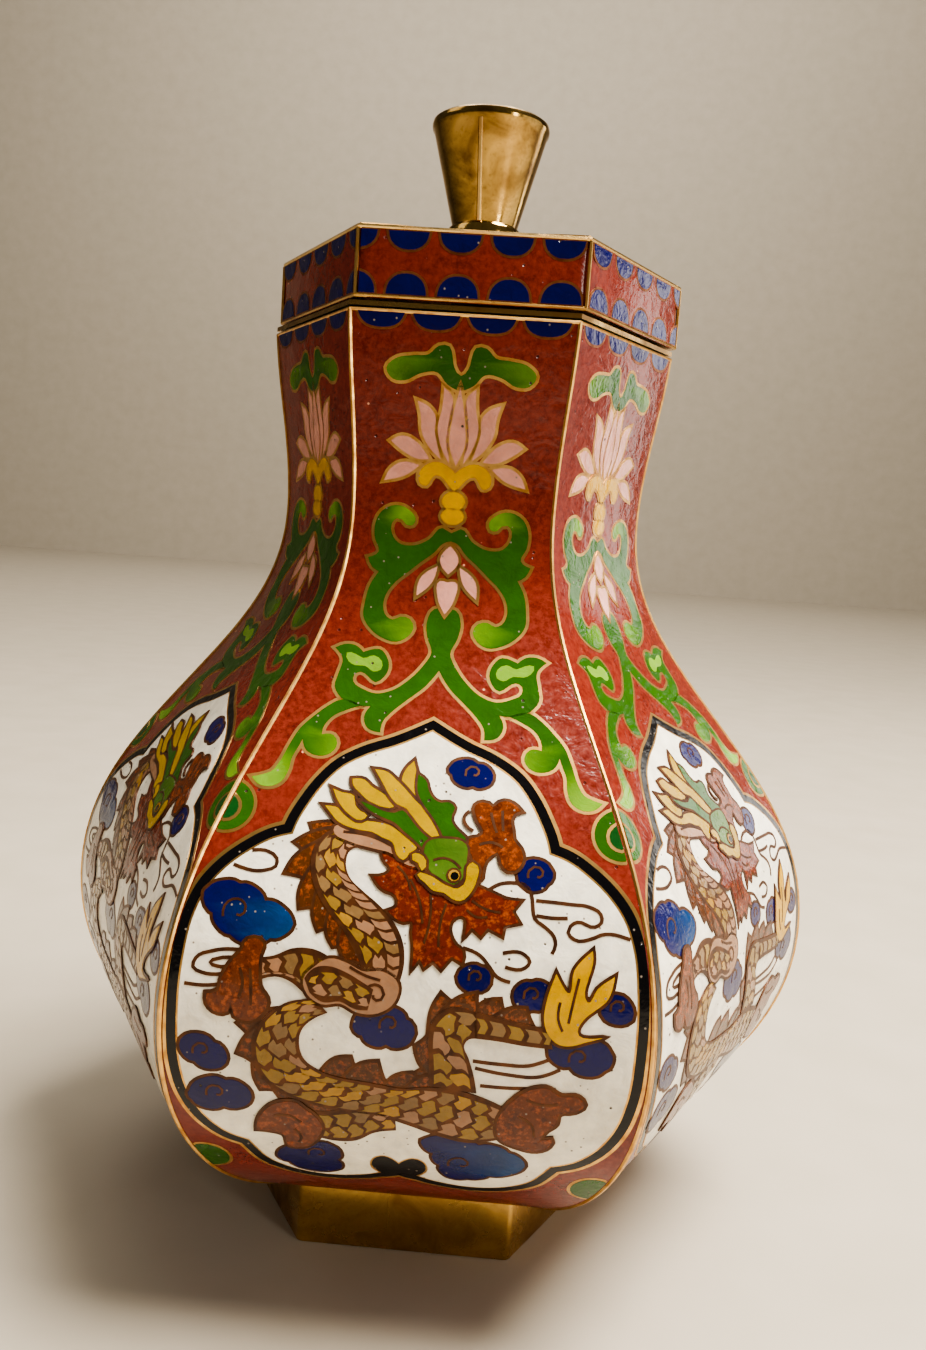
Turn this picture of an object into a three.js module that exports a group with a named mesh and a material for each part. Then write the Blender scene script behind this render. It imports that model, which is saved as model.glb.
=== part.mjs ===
// A six-sided cloisonne enamel jar: a hollow copper vessel on a brass foot, with a brass mouth rim,
// a lid that lifts off and a flared brass knob.
// Millimetres, +Z up. The foot stands on z = 0 and one flat face looks along -Y.
// Every radius of a six-sided piece is measured to its corners, and every wall square to its face.
import * as THREE from "three";

// Overall
const SIDES = 6;
const GAP = 0.3; // between a piece and the one it rests on

// Foot: a straight brass ring, open inside
const FOOT_RADIUS = 24.5;
const FOOT_HEIGHT = 8;
const FOOT_WALL = 1.6;
const FOOT_BEVEL = 0.35; // on the lower outer edge

// Body: heights are above its own underside
const BODY_HEIGHT = 97.1;
const BASE_OVERHANG = 0.5; // of the body's underside past the foot
const BASE_SLOPE = 16.4; // degrees above level, where the outline leaves the underside
const BELLY_RADIUS = 47;
const BELLY_HEIGHT = 26.6;
const SHOULDER_RADIUS = 31; // halfway up the slope from belly to neck
const SHOULDER_HEIGHT = 56.7;
const SHOULDER_SLOPE = 129.7; // degrees, leaning inwards
const NECK_RADIUS = 21.8;
const NECK_HEIGHT = 76.7;
const MOUTH_RADIUS = 24.15;
const MOUTH_SLOPE = 85.5; // degrees, leaning outwards
const ROUNDNESS = 0.37; // length of a curve's handles for each unit between its ends
const BODY_STEPS = 44;
const BODY_WALL = 1.3; // copper, with the enamel on both sides of it
const BODY_FLOOR = 1.8;

// Mouth rim: a flat edge on the mouth, a lining down into it and a collar up into the lid
const RIM_THICKNESS = 0.5;
const RIM_WALL = 0.9;
const LINING_DEPTH = 3.2; // below the mouth
const COLLAR_HEIGHT = 3.6; // above the flat edge
const NECK_CLEARANCE = 0.35; // between the lining and the inside of the neck
const LID_CLEARANCE = 0.7; // between the collar and the inside of the lid

// Lid: a straight side under a low top that rises to a flat middle
const LID_SIDE = 7.4;
const LID_WALL = 1.2;
const LID_BEVEL = 0.5; // on the upper edge of the side
const TOP_RISE = 3.6;
const TOP_CROWN = 0.15; // share of the rise by which the slope of the top eases towards the middle
const TOP_STEPS = 6;
const PAD_MARGIN = 0.5; // of the flat middle of the lid round the knob
const LID_SHIFT = 0.6; // share of its clearance by which the lid sits off centre, along +X

// Knob: a round foot, and a cone that flares from a waist to a wide flat top
const KNOB_FOOT_RADIUS = 4.4;
const KNOB_FOOT_HEIGHT = 2;
const KNOB_WAIST_RADIUS = 4;
const KNOB_WAIST_HEIGHT = 2.3;
const KNOB_TOP_RADIUS = 6.95;
const KNOB_HEIGHT = 13.4;
const KNOB_EDGE = 0.8; // rounding of the rim of its top
const KNOB_SEGMENTS = 48;

const enamel = { color: 0x8c2f1c, roughness: 0.22, metalness: 0 };
const brass = { color: 0xc9a24e, roughness: 0.28, metalness: 1 };

// Distance to a face, for a distance of 1 to a corner.
const toFace = Math.cos(Math.PI / SIDES);
const across = (wall) => wall / toFace;

const point = (radius, height) => new THREE.Vector2(radius, height);
const direction = (degrees) => {
  const angle = THREE.MathUtils.degToRad(degrees);
  return point(Math.cos(angle), Math.sin(angle));
};

// A closed outline of radii and heights turned about +Z, with a flat face or a facet along -Y.
function turned(outline, segments) {
  const geometry = new THREE.LatheGeometry(outline, segments, Math.PI / segments);
  geometry.rotateX(Math.PI / 2);
  return geometry;
}

// The outline moved inwards by a wall measured square to the faces.
function inset(outline, wall) {
  return outline.map((p, i) => {
    const before = outline[Math.max(i - 1, 0)];
    const after = outline[Math.min(i + 1, outline.length - 1)];
    const run = point((after.x - before.x) * toFace, after.y - before.y).normalize();
    return point(p.x - across(wall * run.y), p.y + wall * run.x);
  });
}

function piece(name, geometry, look, height = 0) {
  const mesh = new THREE.Mesh(geometry, new THREE.MeshStandardMaterial(look));
  mesh.name = name;
  mesh.position.z = height;
  return mesh;
}

function makeFootRing() {
  const inner = FOOT_RADIUS - across(FOOT_WALL);
  const outline = [
    point(inner, 0),
    point(FOOT_RADIUS - FOOT_BEVEL, 0),
    point(FOOT_RADIUS, FOOT_BEVEL),
    point(FOOT_RADIUS, FOOT_HEIGHT),
    point(inner, FOOT_HEIGHT),
    point(inner, 0),
  ];
  return piece("foot_ring", turned(outline, SIDES), brass);
}

// The outer line of the body, from its underside to its mouth: four curves that meet smoothly.
function bodyLine() {
  const up = direction(90);
  const stops = [
    [point(FOOT_RADIUS + BASE_OVERHANG, 0), direction(BASE_SLOPE)],
    [point(BELLY_RADIUS, BELLY_HEIGHT), up],
    [point(SHOULDER_RADIUS, SHOULDER_HEIGHT), direction(SHOULDER_SLOPE)],
    [point(NECK_RADIUS, NECK_HEIGHT), up],
    [point(MOUTH_RADIUS, BODY_HEIGHT), direction(MOUTH_SLOPE)],
  ];
  const line = new THREE.CurvePath();
  for (let i = 1; i < stops.length; i++) {
    const [start, leaving] = stops[i - 1];
    const [end, arriving] = stops[i];
    const handle = ROUNDNESS * start.distanceTo(end);
    line.add(
      new THREE.CubicBezierCurve(
        start,
        start.clone().addScaledVector(leaving, handle),
        end.clone().addScaledVector(arriving, -handle),
        end,
      ),
    );
  }
  return line.getSpacedPoints(BODY_STEPS);
}

const outerLine = bodyLine();
const innerLine = inset(outerLine, BODY_WALL).filter((p) => p.y > BODY_FLOOR && p.y < BODY_HEIGHT);

function makeBody() {
  const lowest = innerLine[0];
  const mouth = outerLine[outerLine.length - 1];
  const outline = [
    point(0, 0),
    ...outerLine,
    point(mouth.x - across(BODY_WALL), BODY_HEIGHT),
    ...innerLine.toReversed(),
    point(lowest.x - BODY_WALL, BODY_FLOOR),
    point(0, BODY_FLOOR),
  ];
  return piece("body", turned(outline, SIDES), enamel, FOOT_HEIGHT + GAP);
}

// The narrowest the neck is beside the lining, less its clearance, or what the lid leaves if that is less.
function collarRadius() {
  const beside = innerLine.filter((p) => p.y > BODY_HEIGHT - 2 * LINING_DEPTH);
  const neck = Math.min(...beside.map((p) => p.x)) - across(NECK_CLEARANCE);
  const lid = MOUTH_RADIUS - across(LID_WALL + LID_CLEARANCE);
  return Math.min(neck, lid);
}

const collar = collarRadius();

// Heights are above the mouth of the body.
function makeMouthRim() {
  const inner = collar - across(RIM_WALL);
  const edgeTop = GAP + RIM_THICKNESS;
  const outline = [
    point(inner, -LINING_DEPTH),
    point(collar, -LINING_DEPTH),
    point(collar, GAP),
    point(MOUTH_RADIUS, GAP),
    point(MOUTH_RADIUS, edgeTop),
    point(collar, edgeTop),
    point(collar, edgeTop + COLLAR_HEIGHT),
    point(inner, edgeTop + COLLAR_HEIGHT),
    point(inner, -LINING_DEPTH),
  ];
  return piece("mouth_rim", turned(outline, SIDES), brass, FOOT_HEIGHT + GAP + BODY_HEIGHT);
}

// A slightly crowned slope from the upper edge of the side to the flat middle under the knob.
function topLine(edgeRadius, edgeHeight) {
  const middle = KNOB_FOOT_RADIUS + PAD_MARGIN;
  return Array.from({ length: TOP_STEPS + 1 }, (_, i) => {
    const share = i / TOP_STEPS;
    const rise = share + TOP_CROWN * share * (1 - share);
    return point(THREE.MathUtils.lerp(edgeRadius, middle, share), edgeHeight + TOP_RISE * rise);
  });
}

// Heights are above the lower edge of the lid.
function makeLid() {
  const inner = MOUTH_RADIUS - across(LID_WALL);
  const outline = [
    point(0, LID_SIDE + TOP_RISE - LID_WALL),
    ...topLine(inner, LID_SIDE - LID_WALL).toReversed(),
    point(inner, 0),
    point(MOUTH_RADIUS, 0),
    point(MOUTH_RADIUS, LID_SIDE - LID_BEVEL),
    ...topLine(MOUTH_RADIUS - LID_BEVEL, LID_SIDE),
    point(0, LID_SIDE + TOP_RISE),
  ];
  return piece("lid", turned(outline, SIDES), enamel);
}

function makeKnob() {
  const path = new THREE.Path();
  path.moveTo(0, 0);
  path.lineTo(KNOB_FOOT_RADIUS, 0);
  path.lineTo(KNOB_FOOT_RADIUS, KNOB_FOOT_HEIGHT);
  path.lineTo(KNOB_WAIST_RADIUS, KNOB_WAIST_HEIGHT);
  path.lineTo(KNOB_TOP_RADIUS, KNOB_HEIGHT - 2 * KNOB_EDGE);
  path.bezierCurveTo(
    KNOB_TOP_RADIUS + KNOB_EDGE / 4,
    KNOB_HEIGHT - KNOB_EDGE,
    KNOB_TOP_RADIUS,
    KNOB_HEIGHT,
    KNOB_TOP_RADIUS - KNOB_EDGE,
    KNOB_HEIGHT,
  );
  path.lineTo(0, KNOB_HEIGHT);
  return piece("knob", turned(path.getPoints(6), KNOB_SEGMENTS), brass, LID_SIDE + TOP_RISE + GAP);
}

const cover = new THREE.Group();
cover.position.set(
  LID_SHIFT * LID_CLEARANCE,
  0,
  FOOT_HEIGHT + GAP + BODY_HEIGHT + GAP + RIM_THICKNESS + GAP,
);
cover.add(makeLid(), makeKnob());

const jar = new THREE.Group();
jar.add(makeFootRing(), makeBody(), makeMouthRim(), cover);

export default jar;
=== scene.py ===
import bpy, math, random
import numpy as np
from mathutils import Matrix, Vector


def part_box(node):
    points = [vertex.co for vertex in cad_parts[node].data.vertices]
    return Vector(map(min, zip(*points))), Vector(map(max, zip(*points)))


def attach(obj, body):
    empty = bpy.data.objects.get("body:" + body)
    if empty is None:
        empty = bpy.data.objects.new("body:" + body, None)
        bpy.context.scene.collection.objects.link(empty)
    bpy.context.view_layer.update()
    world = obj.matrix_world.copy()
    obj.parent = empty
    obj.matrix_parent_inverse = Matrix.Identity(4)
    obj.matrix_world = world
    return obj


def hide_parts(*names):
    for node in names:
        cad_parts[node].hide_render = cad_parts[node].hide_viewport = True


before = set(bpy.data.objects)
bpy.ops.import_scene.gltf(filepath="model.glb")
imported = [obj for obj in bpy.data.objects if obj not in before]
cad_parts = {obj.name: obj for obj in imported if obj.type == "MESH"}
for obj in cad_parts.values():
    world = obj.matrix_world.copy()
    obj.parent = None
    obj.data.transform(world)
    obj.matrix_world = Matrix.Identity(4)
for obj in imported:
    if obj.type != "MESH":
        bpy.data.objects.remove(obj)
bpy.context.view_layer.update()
mm = 0.001


# Camera
# It stands ten centimetres from the front face, level with the neck, turned a little and tilted down.
camera_place = (7.08 * mm, -140.2 * mm, 83.9 * mm)
camera_turn = math.radians(2.246)
camera_tilt = math.radians(90 - 7.694)
camera_roll = math.radians(3.988)

bpy.ops.object.select_all(action="DESELECT")
bpy.ops.object.camera_add(location=camera_place)
camera = bpy.context.object
camera.rotation_euler = (
    Matrix.Rotation(camera_turn, 3, "Z")
    @ Matrix.Rotation(camera_tilt, 3, "X")
    @ Matrix.Rotation(camera_roll, 3, "Z")
).to_euler()
camera.data.sensor_fit = "VERTICAL"
camera.data.sensor_height = 36
camera.data.lens = 29.73
camera.data.clip_start = 0.01
bpy.context.scene.camera = camera


# Studio
# A pale floor and backdrop under soft lamps: the main one high on the right, two low on the right, a
# weak one high on the left, one overhead, one for the backdrop, and one low behind that glances off
# the right-hand face.
def soft_lamp(place, aim, width, height, power):
    bpy.ops.object.light_add(type="AREA", location=place)
    lamp = bpy.context.object
    lamp.data.shape = "RECTANGLE"
    lamp.data.size = width
    lamp.data.size_y = height
    lamp.data.energy = power
    lamp.data.color = (1.0, 0.94, 0.86)
    lamp.rotation_euler = (Vector(aim) - Vector(place)).to_track_quat("-Z", "Y").to_euler()


jar_middle = (0, 0, 0.06)
jar_neck = (0, 0, 0.1)
jar_knob = (0, 0, 0.12)
backdrop_distance = 1.6
soft_lamp((0.24, -0.05, 0.62), jar_middle, width=0.3, height=0.3, power=15)
soft_lamp((0.5, -0.02, 0.15), jar_neck, width=0.45, height=0.3, power=0.5)
soft_lamp((0.38, -0.34, 0.16), jar_knob, width=0.08, height=0.3, power=0.9)
soft_lamp((-0.5, -0.1, 0.5), jar_middle, width=0.3, height=0.3, power=0.5)
soft_lamp((0, 0.2, 0.7), jar_middle, width=0.6, height=0.6, power=2.4)
soft_lamp((0, 0.7, 1.1), (0, backdrop_distance, 0.35), width=1.2, height=0.3, power=16)
soft_lamp((0.45, 0.32, 0.14), jar_neck, width=0.1, height=0.2, power=0.22)

world = bpy.data.worlds.new("studio_air")
world.use_nodes = True
air = world.node_tree.nodes["Background"]
air.inputs["Color"].default_value = (0.8, 0.77, 0.72, 1)
air.inputs["Strength"].default_value = 0.13
bpy.context.scene.world = world
bpy.context.scene.view_settings.look = "AgX - Medium High Contrast"


def srgb(red, green, blue):
    """A colour as seen on a screen, 0 to 255, as the linear values that a shader takes."""
    def linear(value):
        share = value / 255
        return share / 12.92 if share <= 0.04045 else ((share + 0.055) / 1.055) ** 2.4
    return (linear(red), linear(green), linear(blue), 1)


class Shader:
    """A new material, and short calls that add and join its nodes."""

    def __init__(self, name):
        self.material = bpy.data.materials.new(name)
        self.material.use_nodes = True
        self.nodes = self.material.node_tree.nodes
        self.links = self.material.node_tree.links
        self.surface = self.nodes["Principled BSDF"]
        self.place = self.nodes.new("ShaderNodeTexCoord").outputs["Object"]

    def fixed(self, **values):
        for socket, value in values.items():
            self.surface.inputs[socket.replace("_", " ")].default_value = value

    def join(self, source, node, socket):
        if isinstance(source, (int, float, tuple)):
            node.inputs[socket].default_value = source
        else:
            self.links.new(source, node.inputs[socket])

    def noise(self, scale, detail=2.0, roughness=0.5, distortion=0.0):
        node = self.nodes.new("ShaderNodeTexNoise")
        node.inputs["Scale"].default_value = scale
        node.inputs["Detail"].default_value = detail
        node.inputs["Roughness"].default_value = roughness
        node.inputs["Distortion"].default_value = distortion
        self.links.new(self.place, node.inputs["Vector"])
        return node.outputs["Fac"]

    def spots(self, scale, size, share):
        """1 in small round spots, one in a share of the cells of a loose grid."""
        cells = self.nodes.new("ShaderNodeTexVoronoi")
        cells.inputs["Scale"].default_value = scale
        self.links.new(self.place, cells.inputs["Vector"])
        inside = self.ramp(cells.outputs["Distance"], size * 0.6, size, 1.0, 0.0)
        parts = self.nodes.new("ShaderNodeSeparateColor")
        self.links.new(cells.outputs["Color"], parts.inputs["Color"])
        chosen = self.ramp(parts.outputs["Red"], share, share + 0.01, 1.0, 0.0)
        return self.math("MULTIPLY", inside, chosen)

    def ramp(self, source, low, high, at_low=0.0, at_high=1.0):
        node = self.nodes.new("ShaderNodeMapRange")
        node.inputs["From Min"].default_value = low
        node.inputs["From Max"].default_value = high
        node.inputs["To Min"].default_value = at_low
        node.inputs["To Max"].default_value = at_high
        self.links.new(source, node.inputs["Value"])
        return node.outputs["Result"]

    def math(self, operation, first, second):
        node = self.nodes.new("ShaderNodeMath")
        node.operation = operation
        self.join(first, node, 0)
        self.join(second, node, 1)
        return node.outputs["Value"]

    def mix(self, share, first, second, blend="MIX"):
        first_colour, second_colour, mixed_colour = 6, 7, 2
        node = self.nodes.new("ShaderNodeMix")
        node.data_type = "RGBA"
        node.blend_type = blend
        self.join(share, node, "Factor")
        self.join(first, node, first_colour)
        self.join(second, node, second_colour)
        return node.outputs[mixed_colour]

    def colour(self, source):
        self.links.new(source, self.surface.inputs["Base Color"])

    def roughness(self, source):
        self.links.new(source, self.surface.inputs["Roughness"])

    def relief(self, height, distance, strength=1.0):
        bump = self.nodes.new("ShaderNodeBump")
        bump.inputs["Distance"].default_value = distance
        bump.inputs["Strength"].default_value = strength
        self.links.new(height, bump.inputs["Height"])
        self.links.new(bump.outputs["Normal"], self.surface.inputs["Normal"])


def floor_paint():
    shader = Shader("floor_paint")
    grain = shader.noise(60, 3)
    shader.colour(shader.mix(shader.ramp(grain, 0.3, 0.7), srgb(170, 160, 142), srgb(176, 166, 149)))
    shader.fixed(Roughness=0.6)
    return shader.material


bpy.ops.object.select_all(action="DESELECT")
bpy.ops.mesh.primitive_plane_add(size=6)
floor = bpy.context.object
floor.name = "floor"
floor.data.materials.append(floor_paint())
bpy.ops.object.select_all(action="DESELECT")
upright = (math.radians(90), 0, 0)
bpy.ops.mesh.primitive_plane_add(size=6, location=(0, backdrop_distance, 0), rotation=upright)
backdrop = bpy.context.object
backdrop.name = "backdrop"
backdrop.data.materials.append(floor.data.materials[0])


# Foot
# A strip of brass bent into six sides and soldered under the vessel. It is polished brass all
# round.
SIDES = 6
to_face = math.cos(math.pi / SIDES)
step_angle = 2 * math.pi / SIDES


def brass(name, bright, dull, roughness=0.24):
    """Cast or rolled brass: brighter and duller patches, fine scratches and a soft unevenness."""
    shader = Shader(name)
    patches = shader.ramp(shader.noise(160, 4, 0.6, 0.6), 0.35, 0.7)
    grain = shader.noise(2600, 3)
    tone = shader.mix(patches, bright, dull)
    shader.colour(shader.mix(shader.ramp(grain, 0.55, 0.8, 0, 0.45), tone, dull))
    shader.fixed(Metallic=1.0)
    shader.roughness(shader.ramp(patches, 0, 1, roughness - 0.05, roughness + 0.14))
    uneven = shader.math("ADD", shader.noise(240, 2), shader.math("MULTIPLY", grain, 0.12))
    shader.relief(uneven, 0.12 * mm, 0.6)
    return shader.material


foot_brass = brass("foot_brass", srgb(214, 176, 104), srgb(150, 112, 62))


def select_only(piece):
    bpy.ops.object.select_all(action="DESELECT")
    piece.select_set(True)
    bpy.context.view_layer.objects.active = piece


def corner_line(node):
    """The outer corner line of a six-sided CAD node, as radii and heights from the bottom up."""
    solid = bpy.data.objects[node]
    low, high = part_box(node)
    middle = (low[0] + high[0]) / 2
    tiny = 1e-6
    radii = {}
    for vertex in solid.data.vertices:
        x, y, z = vertex.co
        if abs(y) < tiny and x > middle:
            z = round(z, 6)
            radii[z] = max(radii.get(z, 0), x - middle)
    outer = []
    for z, radius in sorted(radii.items()):
        level = min(max(z, low[2] + tiny), high[2] - tiny)
        hit, place, _, _ = solid.ray_cast((middle, -1, level), (0, 1, 0))
        if hit and abs(-place.y - radius * to_face) < 0.08 * mm:
            outer.append((radius, z))
    return outer


def rings(name, line, sides=SIDES, corner=0.5 * mm, shift=0.0, ring=False):
    """A shell raised ring by ring through radii and heights; six-sided ones get rounded corners.

    It starts and ends in a flat cap, or with ring its last edge is bridged to its first.
    """
    bpy.ops.object.select_all(action="DESELECT")
    radius, height = line[0]
    cap = "NOTHING" if ring else "NGON"
    bpy.ops.mesh.primitive_circle_add(vertices=sides, radius=radius, fill_type=cap)
    piece = bpy.context.object
    piece.name = name
    bpy.ops.object.mode_set(mode="EDIT")
    bpy.ops.mesh.select_all(action="SELECT")
    if sides == SIDES:
        bpy.ops.transform.rotate(value=step_angle / 2, orient_axis="Z", center_override=(0, 0, 0))
        bpy.ops.mesh.bevel(offset_type="WIDTH", offset=corner, segments=3, affect="VERTICES")
        bpy.ops.mesh.select_all(action="SELECT")
    bpy.ops.transform.translate(value=(0, 0, height))
    for next_radius, next_height in line[1:]:
        lift = {"value": (0, 0, next_height - height)}
        bpy.ops.mesh.extrude_region_move(TRANSFORM_OT_translate=lift)
        scale = next_radius / radius
        bpy.ops.transform.resize(value=(scale, scale, 1), center_override=(0, 0, next_height))
        radius, height = next_radius, next_height
    if ring:
        bpy.ops.mesh.select_mode(type="EDGE")
        bpy.ops.mesh.select_all(action="DESELECT")
        bpy.ops.mesh.select_non_manifold()
        bpy.ops.mesh.bridge_edge_loops()
        bpy.ops.mesh.select_mode(type="VERT")
    bpy.ops.mesh.select_all(action="SELECT")
    bpy.ops.transform.translate(value=(shift, 0, 0))
    bpy.ops.mesh.normals_make_consistent(inside=False)
    bpy.ops.object.mode_set(mode="OBJECT")
    bpy.ops.object.shade_smooth_by_angle(angle=math.radians(30))
    return piece


def rounded(line, cut):
    """A closed outline of radii and heights with each corner cut by three short edges."""
    result = []
    for i, here in enumerate(line):
        before, here, after = (Vector(p) for p in (line[i - 1], here, line[(i + 1) % len(line)]))
        reach = min(cut, (before - here).length * 0.45, (after - here).length * 0.45)
        start = here + (before - here).normalized() * reach
        end = here + (after - here).normalized() * reach
        for share in (0, 1 / 3, 2 / 3, 1):
            result.append(tuple(start.lerp(here, share).lerp(here.lerp(end, share), share)))
    return result


foot_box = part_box("foot_ring")
foot_radius = foot_box[1][0]
foot_wall = 1.6 * mm / to_face
body_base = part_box("body")[0][2]
foot_outline = rounded(
    [
        (foot_radius - foot_wall, 0),
        (foot_radius, 0),
        (foot_radius, body_base),
        (foot_radius - foot_wall, body_base),
    ],
    0.3 * mm,
)
foot = rings("foot_ring_brass", foot_outline, corner=0.7 * mm, ring=True)
foot.data.materials.append(foot_brass)
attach(foot, "root")
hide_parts("foot_ring")


# Vessel
# The hollow six-sided vessel, beaten and soldered from sheet copper. Its ground outside is brick red
# enamel, and inside and under the foot it has the plain turquoise that keeps the sheet from warping.
def curve_through(points, closed=True, step=0.45):
    """Points along a smooth curve through the given ones; one with a third value is a sharp corner."""
    place = np.array([p[:2] for p in points], float)
    count = len(points)
    sharp = [len(p) > 2 for p in points]
    if not closed:
        sharp[0] = sharp[-1] = True
    spans = count if closed else count - 1

    def heading(i):
        into = place[i] - place[i - 1]
        out = place[(i + 1) % count] - place[i]
        into_length, out_length = np.hypot(*into), np.hypot(*out)
        way = into / into_length * out_length + out / out_length * into_length
        return way / max(np.hypot(*way), 1e-9)

    result = []
    for i in range(spans):
        j = (i + 1) % count
        start, end = place[i], place[j]
        length = np.hypot(*(end - start))
        chord = (end - start) / length
        leave = None if sharp[i] else heading(i)
        arrive = None if sharp[j] else heading(j)
        if leave is None and arrive is None:
            leave = arrive = chord
        elif leave is None:
            leave = 1.5 * chord - 0.5 * arrive
        elif arrive is None:
            arrive = 1.5 * chord - 0.5 * leave
        pieces = max(1, round(length / step))
        for t in np.arange(pieces) / pieces:
            result.append(
                (2 * t**3 - 3 * t**2 + 1) * start
                + (t**3 - 2 * t**2 + t) * length * leave
                + (3 * t**2 - 2 * t**3) * end
                + (t**3 - t**2) * length * arrive
            )
    if not closed:
        result.append(place[-1])
    return np.array(result)


body_corner = corner_line("body")
fine_line = curve_through(body_corner, closed=False, step=0.3 * mm)
line_distance = fine_line[:, 0] * to_face
line_height = fine_line[:, 1]
line_run = np.concatenate(
    [[0], np.cumsum(np.hypot(np.diff(line_distance), np.diff(line_height)))]
)
face_length = line_run[-1]
distance_slope = np.gradient(line_distance, line_run)
height_slope = np.gradient(line_height, line_run)

level_step = 1.2 * mm
levels = np.linspace(0, face_length, round(face_length / level_step) + 1)
wall = 1.3 * mm
floor_thickness = 1.8 * mm


def at_run(run, values):
    return np.interp(run, line_run, values)


def red_enamel():
    """Brick red glass, mottled and grainy, with darker cloud and pale specks."""
    shader = Shader("red_enamel")
    cloud = shader.ramp(shader.noise(190, 4, 0.6, 0.4), 0.3, 0.75)
    grain = shader.ramp(shader.noise(1500, 4, 0.7), 0.35, 0.7)
    tone = shader.mix(cloud, srgb(104, 34, 24), srgb(76, 22, 17))
    tone = shader.mix(grain, tone, srgb(124, 48, 34))
    tone = shader.mix(shader.spots(900, 0.16, 0.16), tone, srgb(74, 24, 18))
    tone = shader.mix(shader.spots(620, 0.1, 0.07), tone, srgb(214, 150, 120))
    shader.colour(tone)
    shader.fixed(Specular_IOR_Level=0.38)
    shader.roughness(shader.ramp(grain, 0, 1, 0.14, 0.24))
    pits = shader.math("MULTIPLY", shader.spots(900, 0.16, 0.16), -1.0)
    wavy = shader.math("ADD", pits, shader.noise(460, 3, 0.6, 0.5))
    shader.relief(wavy, 0.15 * mm, 0.8)
    return shader.material


def turquoise_enamel():
    """The plain counter enamel, thin and a little streaky."""
    shader = Shader("turquoise_enamel")
    streaks = shader.ramp(shader.noise(120, 4, 0.6, 1.0), 0.3, 0.7)
    tone = shader.mix(streaks, srgb(52, 138, 140), srgb(70, 160, 156))
    shader.colour(shader.mix(shader.spots(700, 0.14, 0.2), tone, srgb(30, 84, 90)))
    shader.fixed(Roughness=0.28)
    shader.relief(shader.noise(420, 3), 0.06 * mm, 0.6)
    return shader.material


def wall_line():
    """The inner line, a wall's thickness square to the outer one."""
    inner = []
    for run in levels[::-1]:
        distance = at_run(run, line_distance) - wall * at_run(run, height_slope)
        height = at_run(run, line_height) + wall * at_run(run, distance_slope)
        if body_base + floor_thickness + 0.3 * mm < height < line_height[-1] - 0.2 * mm:
            inner.append((distance / to_face, height))
    return inner


run_distances = at_run(levels, line_distance)
run_heights = at_run(levels, line_height)
corner_radii = run_distances / to_face
outer_line = list(zip(corner_radii, run_heights))
mouth_radius, mouth_height = outer_line[-1]
inner_line = wall_line()
floor_radius = inner_line[-1][0] - 1.2 * mm
vessel_line = (
    outer_line
    + [(mouth_radius - wall / to_face, mouth_height)]
    + inner_line
    + [(floor_radius, body_base + floor_thickness)]
)
vessel = rings("vessel_enamel", vessel_line)
vessel.data.materials.append(red_enamel())
vessel.data.materials.append(turquoise_enamel())
for polygon in vessel.data.polygons:
    middle = polygon.center
    inward = polygon.normal.x * middle.x + polygon.normal.y * middle.y < 0
    lies_flat = abs(polygon.normal.z) > 0.99
    in_middle = math.hypot(middle.x, middle.y) < 0.1 * mm
    if inward or lies_flat or in_middle:
        polygon.material_index = 1
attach(vessel, "root")
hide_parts("body")


# Enamel pictures
# Every face carries the same picture in powdered glass, fired in cells of bent wire that are
# soldered on the copper, and then ground and polished nearly flush.
GILT = 0
COPPER = 1
LID_AND_MOUTH_WIRE = 2
wire_width = 0.34
edge_margin = 0.42
ground_lift = 0.02 * mm
level_lift = 0.04 * mm
tile_depth = 0.14 * mm


def mottled(red, green, blue):
    """A coarse-ground glass: the alpha of 0 marks it for the grains that its material adds."""
    return (*srgb(red, green, blue)[:3], 0)


white_glass = srgb(248, 241, 222)
black_glass = srgb(12, 10, 12)
green_glass = srgb(40, 84, 12)
light_green = srgb(118, 160, 44)
dark_green = srgb(24, 70, 26)
moss_glass = srgb(74, 104, 34)
yellow_glass = srgb(200, 152, 0)
deep_yellow = srgb(172, 138, 0)
pink_glass = srgb(208, 148, 132)
navy_glass = srgb(12, 10, 78)
turquoise_glass = srgb(16, 74, 122)
claw_glass = mottled(98, 46, 18)
fin_glass = mottled(78, 44, 18)
beard_glass = mottled(96, 34, 16)
olive_glass = srgb(138, 108, 46)
mauve_glass = srgb(150, 112, 84)
straw_glass = srgb(164, 124, 48)
fawn_glass = srgb(126, 98, 62)


def crossing(first, second):
    """Where the end of one run of points crosses the start of another: both segments and the point."""
    most = 13
    for a in range(len(first) - 2, max(len(first) // 2, len(first) - 1 - most), -1):
        for b in range(min(len(second) // 2, most)):
            start, along = first[a], first[a + 1] - first[a]
            other, beside = second[b], second[b + 1] - second[b]
            turn = along[0] * beside[1] - along[1] * beside[0]
            if abs(turn) < 1e-12:
                continue
            gap = other - start
            t = (gap[0] * beside[1] - gap[1] * beside[0]) / turn
            k = (gap[0] * along[1] - gap[1] * along[0]) / turn
            if 0 <= t <= 1 and 0 <= k <= 1:
                return a, b, start + t * along
    return None


def sideways(run):
    """Steps of length 1 to the right of each point of a run, square to it."""
    way = np.gradient(run, axis=0)
    way = way / np.maximum(np.hypot(way[:, 0], way[:, 1]), 1e-9)[:, None]
    return np.column_stack([way[:, 1], -way[:, 0]])


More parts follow.
